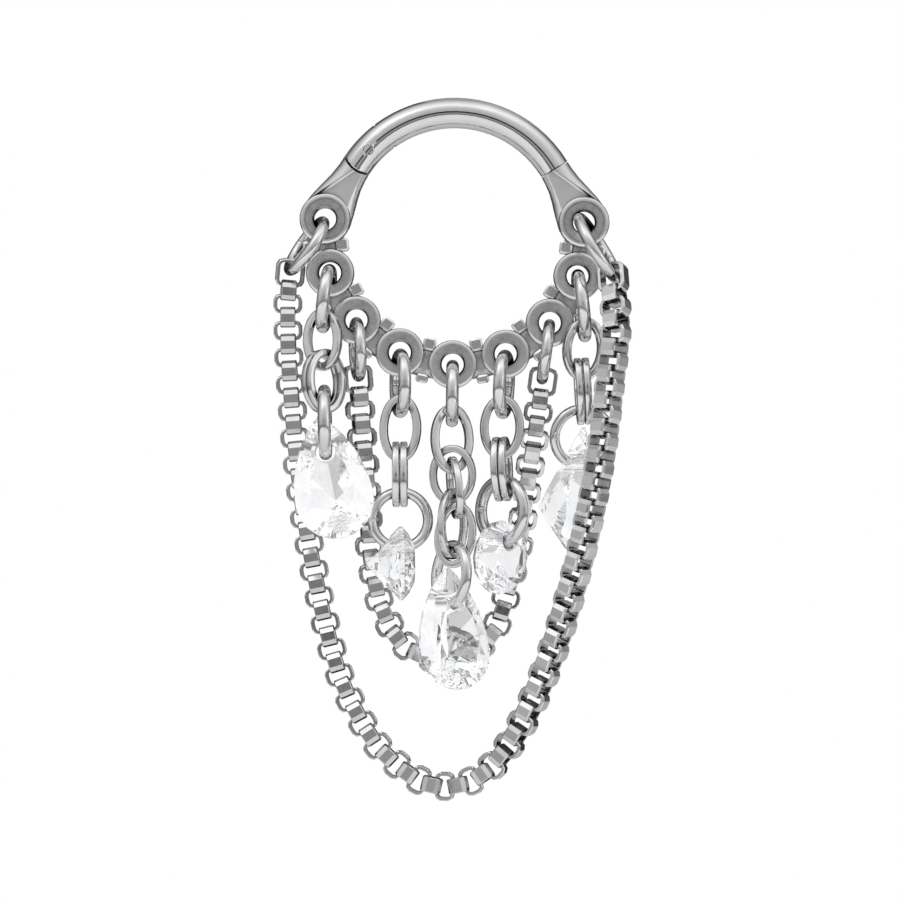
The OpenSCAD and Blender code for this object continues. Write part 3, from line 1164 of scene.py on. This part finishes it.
@dataclass
class Drop:
    """A column of rings and links under one eyelet."""

    eyelet: int
    rows: tuple[Hanging, ...]
    hoop: HoopFrame

    def top(self, index: int) -> Vector:
        """Gives the top of a ring's centreline.

        Args:
            index: The ring's row.

        Returns:
            The point.
        """
        row = self.rows[index]
        if row.holder < 0:
            reach = self.hoop.hole_r - row.wire / 2 - row.gap
            return self.hoop.eyelet(self.eyelet) + row.down() * reach
        holder = self.rows[row.holder]
        return self.foot(row.holder) - row.down() * (row.wire / 2 + holder.wire / 2 + row.gap)

    def foot(self, index: int) -> Vector:
        """Gives the foot of a ring's centreline."""
        row = self.rows[index]
        return self.top(index) + row.down() * (row.long - row.wire)

    def place(self, index: int) -> Matrix:
        """Gives a ring's place.

        Args:
            index: The ring's row.

        Returns:
            The matrix that sets a ring modelled about the origin there.
        """
        row = self.rows[index]
        attitude = row.attitude()
        aside = attitude @ Vector((0.0, row.side, 0.0))
        return Matrix.Translation((self.top(index) + self.foot(index)) / 2 + aside) @ attitude

    def build(self, palette: Palette) -> None:
        """Models the column's rings and links and hands them over.

        Args:
            palette: The finishes.
        """
        for index, row in enumerate(self.rows):
            ring = row.round_ring() if row.long == row.wide else row.oval_link()
            ring.name = ring.data.name = f"{row.node}_wire"
            ring.data.transform(self.place(index))
            smooth(ring, 40.0)
            hand_over(ring, row.node, Slot.RINGS, palette)


def drop_table(hoop: HoopFrame) -> list[Drop]:
    """Lists the columns that hang from the eyelets.

    Args:
        hoop: The casting they hang from.

    Returns:
        The columns.
    """
    # The wires of the usual jump rings, oval links and thin rings, and of the rings that carry the chains
    jump, link, thin, carrier = 0.5, 0.32, 0.28, 0.45
    columns = (
        (1, Hanging("outer_ring_left", 2.75, 2.75, carrier, -77, -34, 0, 0.1)),
        (9, Hanging("outer_ring_right", 3.22, 3.22, carrier, -100, 28.5, 24, 0.34)),
        (3, Hanging("inner_ring_left", 2.56, 2.56, carrier, -82, 2.5, -5, 0.14)),
        (7, Hanging("inner_ring_right", 2.6, 2.6, carrier, -90, -7, -7, 0.15)),
        (
            2,
            Hanging("drop1_jump_ring", 2.74, 2.74, jump, -95, -7.5, 15, 0.27),
            Hanging("drop1_oval_link", 2.46, 1.7, link, -30, 3, 8, 0.1, 0, 0),
            *Hanging("drop1_thin_ring", 2.52, 1.86, thin, 40, 2.5, 7, 0.24, 0, 1).twins(),
            Hanging("drop1_stone_ring", 2.97, 2.97, jump, -90, 2, 6, 0.34, 0, 2),
        ),
        (
            4,
            Hanging("drop2_jump_ring", 2.74, 2.74, jump, -80, 1.5, 5, 0.12),
            Hanging("drop2_oval_link", 2.68, 1.66, link, -12, 0, 6, 0.1, 0, 0),
            *Hanging("drop2_thin_ring", 2.58, 1.85, thin, -91, 1, 6, 0.22, 0, 1).twins(),
            Hanging("drop2_stone_ring", 2.58, 2.58, 0.4, 4, 1.6, 6, 0.1, 0, 2),
        ),
        (
            5,
            Hanging("drop3_jump_ring", 2.66, 2.66, jump, -90, 0, 7, 0.14),
            Hanging("drop3_oval_link", 2.77, 1.75, link, 20, 1, 10, 0.08, 0, 0),
            Hanging("drop3_thin_ring_a", 2.36, 1.9, thin, -19, 1, 2, 0.54, 0.06, 1),
            Hanging("drop3_thin_ring_b", 2.5, 1.85, thin, -77, 7.5, 14, 0.08, 0.02, 1),
            Hanging("drop3_thin_ring_c", 2.82, 1.85, thin, -124, -0.8, 8, 0.11, 0.05, 2),
            Hanging("drop3_thin_ring_d", 2.58, 1.66, thin, -17, -6.9, 1.4, 0.08, 0.07, 3),
            Hanging("drop3_stone_ring", 2.78, 2.78, 0.42, -60, 0.2, 9, 0.06, 0.035, 4),
        ),
        (
            6,
            Hanging("drop4_jump_ring", 2.74, 2.74, jump, -100, -2.5, 4, 0.13),
            Hanging("drop4_oval_link", 2.54, 1.74, link, 10, -1, 3, 0.12, 0, 0),
            *Hanging("drop4_thin_ring", 2.54, 1.88, thin, -101, 3.4, 1, 0.3, 0, 1).twins(),
            Hanging("drop4_stone_ring", 2.89, 2.89, 0.48, -46, -1.9, -1, 0.3, 0, 2),
        ),
        (
            8,
            Hanging("drop5_jump_ring", 2.9, 2.9, jump, -88, 7.8, 11, 0.22),
            Hanging("drop5_oval_link", 2.5, 1.82, link, 24, -3.2, -2, 0.13, 0, 0),
            *Hanging("drop5_thin_ring", 2.64, 1.88, thin, -88, 4, -6, 0.31, 0, 1).twins(),
            Hanging("drop5_stone_ring", 2.64, 2.64, 0.4, 12, -7, -7, 0.14, 0, 2),
        ),
    )
    return [Drop(eyelet, tuple(rows), hoop) for eyelet, *rows in columns]


# The box chains


@dataclass
class BoxChain:
    """A draped chain of folded box links, every other one turned by a quarter.

    The route's points are X, Y, Z and the twist in degrees. An end link is longer than the others, because a
    ring goes through it too.
    """

    node: str
    route: tuple[tuple[float, float, float, float], ...]
    links: int
    first_extra: float
    last_extra: float
    wide: float = 1.13
    high: float = 0.8
    strip: float = 0.6
    thick: float = 0.145
    corner: float = 0.6
    bow: float = 1.14
    edge: float = 0.04

    def knots(self) -> list[Vector]:
        """Smooths the route through its points, in twelve steps from each point to the next.

        Returns:
            Points of X, Y, Z and the twist in degrees.
        """
        given = [Vector(point) for point in self.route]
        ends = [2 * given[0] - given[1], *given, 2 * given[-1] - given[-2]]
        steps = 12
        points = []
        for before, start, end, after in zip(ends, ends[1:], ends[2:], ends[3:]):
            for step in range(steps):
                t = step / steps
                points.append((
                    2 * start + (end - before) * t + (2 * before - 5 * start + 4 * end - after) * t * t
                    + (3 * start - before - 3 * end + after) * t * t * t
                ) / 2)
        return [*points, given[-1]]

    def places(self) -> list[Matrix]:
        """Gives every link's place along the route.

        Returns:
            A matrix for each link.
        """
        points = self.knots()
        runs = [0.0]
        for start, end in zip(points, points[1:]):
            runs.append(runs[-1] + (end.xyz - start.xyz).length)

        def along(distance: float) -> Vector:
            """Gives the point at a distance along the route.

            Args:
                distance: The distance from the first knot.

            Returns:
                The point, with the twist as its fourth number.
            """
            distance = min(max(distance, 0.0), runs[-1] - NEAR)
            index = next(k for k in range(len(runs) - 1) if runs[k + 1] > distance)
            share = (distance - runs[index]) / (runs[index + 1] - runs[index])
            return points[index] + (points[index + 1] - points[index]) * share

        pitch = runs[-1] / (self.links - 1)
        places = []
        for k in range(self.links):
            here = along(k * pitch)
            run = (along((k + 0.5) * pitch).xyz - along((k - 0.5) * pitch).xyz).normalized()
            deep = (Vector((0.0, 1.0, 0.0)) - run * run.y).normalized()
            place = set_on(deep.cross(run), deep, run, here.xyz)
            places.append(place @ turn(here.w + (k % 2) * 90.0, "Z"))
        return places

    def at_opening(self, middle: Vector) -> bool:
        """Tells whether a part lies at one of the link's two openings."""
        return abs(middle.y) > self.strip / 2 - NEAR

    def on_rim(self, middle: Vector) -> bool:
        """Tells whether an edge lies on the outer rim of the strip."""
        reach = math.hypot(middle.x / (self.wide / 2), middle.z / (self.high / 2))
        return self.at_opening(middle) and reach > 0.93

    def mould(self) -> Piece:
        """Models one link: a strip folded into a box, with bowed side walls and broken edges.

        Returns:
            The link about the origin, upright along Z and open along Y.
        """
        link = block("box_link", (2.0, 2.0, 2.0))
        edit(link, Pick.EDGES, lambda middle: abs(middle.y) < NEAR)
        bpy.ops.mesh.bevel(offset=self.corner, segments=2, profile=0.5)
        bpy.ops.mesh.select_all(action="SELECT")
        stretch(self.wide / 2, self.strip / 2, self.high / 2)
        close_edit()
        edit(link, Pick.FACES, self.at_opening)
        bpy.ops.mesh.inset(thickness=self.thick)
        stretch(z=self.bow)
        bpy.ops.mesh.bridge_edge_loops()
        close_edit()
        edit(link, Pick.EDGES, self.on_rim)
        bpy.ops.mesh.bevel(offset=self.edge, segments=1)
        close_edit()
        seal(link)
        return link

    def stretched(self, mould: Piece, extra: float, side: float) -> Piece:
        """Copies the mould for an end link.

        Args:
            mould: The link's mould.
            extra: How much longer it is.
            side: -1 to lengthen it at its low end, 1 at its high end.

        Returns:
            The longer mould.
        """
        longer = copy_of(mould, Matrix.Identity(4))
        edit(longer, Pick.POINTS, lambda point: point.z * side > 0.01)
        bpy.ops.transform.translate(value=(0.0, 0.0, side * extra))
        close_edit()
        return longer

    def build(self, palette: Palette) -> None:
        """Models one link, sets a copy at every place and hands the chain over.

        Args:
            palette: The finishes.
        """
        mould = self.mould()
        first = self.stretched(mould, self.first_extra, -1.0)
        last = self.stretched(mould, self.last_extra, 1.0)
        moulds = [first, *[mould] * (self.links - 2), last]
        chain = fused([copy_of(*pair) for pair in zip(moulds, self.places())], f"{self.node}_links")
        for used in (mould, first, last):
            drop(used)
        hand_over(chain, self.node, Slot.CHAIN, palette)


def chain_table(drops: Sequence[Drop]) -> list[BoxChain]:
    """Lists the two box chains, from ring to ring.

    Args:
        drops: The columns, the first four of which are the rings that carry the chains.

    Returns:
        The chains.
    """

    below_ring = 0.27

    def start(drop: Drop, twist: float) -> tuple[float, float, float, float]:
        """Gives a chain's end, with its twist, below the ring that carries it."""
        foot = drop.foot(0)
        return (foot.x, foot.y, foot.z - below_ring, twist)

    outer = (
        start(drops[0], -6),
        (-6.52, 0.1, -7.6, -3), (-6.47, 0.25, -9.5, 0), (-6.32, 0.4, -11.5, 0), (-6.12, 0.5, -13.5, 0),
        (-5.85, 0.55, -15.5, 0), (-5.48, 0.55, -17.5, 0), (-4.98, 0.5, -19.8, 0), (-4.22, 0.4, -22.4, 0),
        (-3.1, 0.3, -24.5, 0), (-2.1, 0.25, -25.6, 0), (-0.85, 0.2, -26.4, 0), (0.5, 0.1, -26.45, -3),
        (1.75, 0, -25.7, -9), (2.9, -0.4, -24, -20), (4, -0.9, -21.3, -30), (4.8, -1.6, -18.5, -38),
        (5.4, -2, -15.8, -42), (5.85, -2.05, -13.2, -42), (6.15, -1.8, -10.5, -41), (6.36, -1.7, -8.4, -35),
        start(drops[1], -24),
    )
    inner = (
        start(drops[2], -9),
        (-3.55, 0.35, -12.6, -9), (-3.4, 0.5, -14.2, -8), (-3.28, 0.6, -15.8, -6), (-3.15, 0.75, -17.4, -4),
        (-2.85, 0.85, -19, -2), (-2.46, 0.9, -20, 0), (-2, 0.95, -20.77, 0), (-1.2, 1, -21.35, 0),
        (-0.25, 1.05, -21.55, 0), (0.7, 1.1, -21.35, 0), (1.5, 1.25, -20.77, 0), (1.96, 1.35, -20, 0),
        (2.36, 1.42, -18.6, 0), (2.7, 1.38, -17.1, 0), (2.93, 1.1, -15.4, 0), (3.1, 0.8, -14, 0),
        (3.28, 0.5, -12.7, 0),
        start(drops[3], 0),
    )
    return [
        BoxChain("outer_box_chain", outer, 85, 0.32, 0.4),
        BoxChain("inner_box_chain", inner, 47, 0.32, 0.32),
    ]


# The studio


@dataclass(frozen=True)
class Softbox:
    """One soft area lamp."""

    name: str
    place: Triple
    size: float
    power: float

    def build(self, aim: Vector) -> None:
        """Sets the lamp up.

        Args:
            aim: The point it shines at.
        """
        lamp = bpy.data.lights.new(self.name, "AREA")
        lamp.shape = "SQUARE"
        lamp.size = self.size
        lamp.energy = self.power
        holder = bpy.data.objects.new(self.name, lamp)
        bpy.context.scene.collection.objects.link(holder)
        holder.location = self.place
        holder.rotation_euler = (aim - Vector(self.place)).to_track_quat("-Z", "Y").to_euler()


@dataclass(frozen=True)
class LightTent:
    """A tent of light round the jewel, with a dark gap towards the lens, and plain white behind it.

    Its brightness is the product of three ramps over the direction's height, depth and side, from -1 to 1.
    """

    height: Stops = (
        (-1.0, 0.8), (-0.3, 0.9), (-0.23, 0.14), (-0.17, 0.14), (-0.1, 0.38), (0.0, 0.42), (0.07, 0.42),
        (0.2, 0.52), (0.45, 0.6), (0.66, 0.75), (0.85, 1.2), (0.95, 1.25), (1.0, 1.15),
    )
    depth: Stops = (
        (-1.0, 1.0), (-0.5, 1.0), (-0.25, 0.85), (0.0, 0.7), (0.25, 0.5), (0.5, 0.28), (0.75, 0.1),
        (0.93, 0.05), (0.98, 0.35), (1.0, 0.45),
    )
    sides: Stops = (
        (-1.0, 1.6), (-0.8, 1.35), (-0.45, 1.15), (-0.2, 1.1), (-0.08, 1.05), (0.08, 1.0), (0.2, 1.1),
        (0.45, 1.15), (0.75, 1.4), (1.0, 2.2),
    )
    lens_way: Triple = (0.0, -0.9954, 0.0958)
    lens_rim: tuple[float, float] = (0.9948, 0.9966)
    lens_light: float = 0.02
    white_in_stones: float = 0.86

    def ramp(self, wiring: Wiring, source: Socket, stops: Stops) -> Socket:
        """Maps a direction's component to brightness.

        Args:
            wiring: The world's nodes.
            source: The component, from -1 to 1.
            stops: Places and brightnesses.

        Returns:
            The brightness.
        """
        node = wiring.add("ShaderNodeValToRGB", {"Fac": wiring.fit(source, -1.0, 1.0, 0.0, 1.0)})
        band = node.color_ramp
        while len(band.elements) > 1:
            band.elements.remove(band.elements[-1])
        for number, (place, light) in enumerate(stops):
            at = (place + 1.0) / 2.0
            stop = band.elements.new(at) if number else band.elements[0]
            stop.position = at
            stop.color = (light, light, light, 1.0)
        return node.outputs["Color"]

    def build(self) -> None:
        """Makes the tent the scene's world."""
        world = bpy.data.worlds.new("light_tent")
        bpy.context.scene.world = world
        wiring = Wiring(world)
        wiring.tree.nodes.clear()
        way = wiring.add("ShaderNodeTexCoord").outputs["Generated"]
        lens = wiring.add("ShaderNodeVectorMath", {0: way, 1: self.lens_way}, operation="DOT_PRODUCT")
        light = wiring.fit(lens.outputs["Value"], *self.lens_rim, 1.0, self.lens_light)
        axes = wiring.add("ShaderNodeSeparateXYZ", {0: way})
        for axis, stops in (("X", self.sides), ("Y", self.depth), ("Z", self.height)):
            factors = {0: light, 1: self.ramp(wiring, axes.outputs[axis], stops)}
            light = wiring.add("ShaderNodeVectorMath", factors, operation="MULTIPLY").outputs[0]
        tent = wiring.add("ShaderNodeBackground", {"Color": light})
        white = wiring.add("ShaderNodeBackground", {"Color": WHITE})
        rays = wiring.add("ShaderNodeLightPath").outputs
        through = {0: rays["Is Transmission Ray"], 1: self.white_in_stones}
        stones = wiring.add("ShaderNodeMath", through, operation="MULTIPLY").outputs[0]
        share = wiring.add("ShaderNodeMath", {0: rays["Is Camera Ray"], 1: stones}, operation="MAXIMUM")
        mix = wiring.add("ShaderNodeMixShader", {
            0: share.outputs[0], 1: tent.outputs[0], 2: white.outputs[0],
        })
        wiring.add("ShaderNodeOutputWorld", {"Surface": mix.outputs[0]})


@dataclass
class Studio:
    """Pale floor, soft lamps, the tent of light, and the camera, in metres."""

    middle: Triple = (-0.00006, 0.0, -0.01327)
    distance: float = 0.194
    view_width: float = 0.03543
    roll: float = 0.75
    sensor: float = 36.0
    floor_z: float = -0.06
    floor_r: float = 0.14
    floor_t: float = 0.002
    floor_edge: float = 0.0008
    floor_back: float = 0.02
    lamps: tuple[Softbox, ...] = (
        Softbox("softbox_top_left", (-0.16, -0.16, 0.24), 0.16, 0.03),
        Softbox("softbox_right", (0.28, -0.1, 0.02), 0.14, 0.02),
        Softbox("softbox_back", (0.05, 0.24, 0.2), 0.2, 0.04),
    )

    def floor(self) -> None:
        """Lays the pale floor well below the hanging jewel, with a rounded rim."""
        deselect()
        bpy.ops.mesh.primitive_circle_add(vertices=64, radius=self.floor_r, fill_type="NGON")
        floor = added("floor")
        edit(floor, Pick.FACES)
        extrude(z=self.floor_t)
        close_edit()
        edit(floor, Pick.EDGES, lambda middle: middle.z > self.floor_t - NEAR)
        bpy.ops.mesh.bevel(offset=self.floor_edge, segments=3)
        close_edit()
        floor.data.transform(shift(0.0, self.floor_back, self.floor_z))
        floor.data.materials.append(FloorFinish().material())

    def camera(self) -> None:
        """Sets the camera at the photograph's angle."""
        lens = bpy.data.cameras.new("camera")
        lens.sensor_width = self.sensor
        lens.lens = self.sensor * self.distance / self.view_width
        lens.clip_start = 0.005
        holder = bpy.data.objects.new("camera", lens)
        bpy.context.scene.collection.objects.link(holder)
        place = Matrix.Translation(Vector(self.middle) - Vector((0.0, self.distance, 0.0)))
        holder.matrix_world = place @ turn(90.0, "X") @ turn(self.roll, "Z")
        bpy.context.scene.camera = holder

    def build(self) -> None:
        """Sets up the whole studio."""
        self.floor()
        self.camera()
        LightTent().build()
        for lamp in self.lamps:
            lamp.build(Vector(self.middle))
        scene = bpy.context.scene
        scene.view_settings.view_transform = "Standard"
        scene.cycles.max_bounces = 20
        scene.cycles.glossy_bounces = 14
        scene.cycles.transmission_bounces = 20


def main() -> None:
    """Builds every piece in order."""
    logging.basicConfig(level=logging.INFO, format="%(name)s: %(message)s")
    deselect()
    palette = Palette()
    hoop = HoopFrame()
    hand_over(hoop.build(), "hoop_frame", Slot.FRAME, palette)
    hand_over(ClickerBar().build(), "clicker_bar", Slot.BAR, palette, "bar")
    hand_over(hoop.rivet(), "hinge_pin", Slot.BAR, palette)
    drops = drop_table(hoop)
    for column in drops:
        column.build(palette)
    for chain in chain_table(drops):
        chain.build(palette)
    for name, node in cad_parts.items():
        if name.endswith("_stone"):
            palette.dress(node, Slot.STONE)
            log.info("%s is dressed as a cut stone", name)
    Studio().build()


if __name__ == "__main__":
    main()
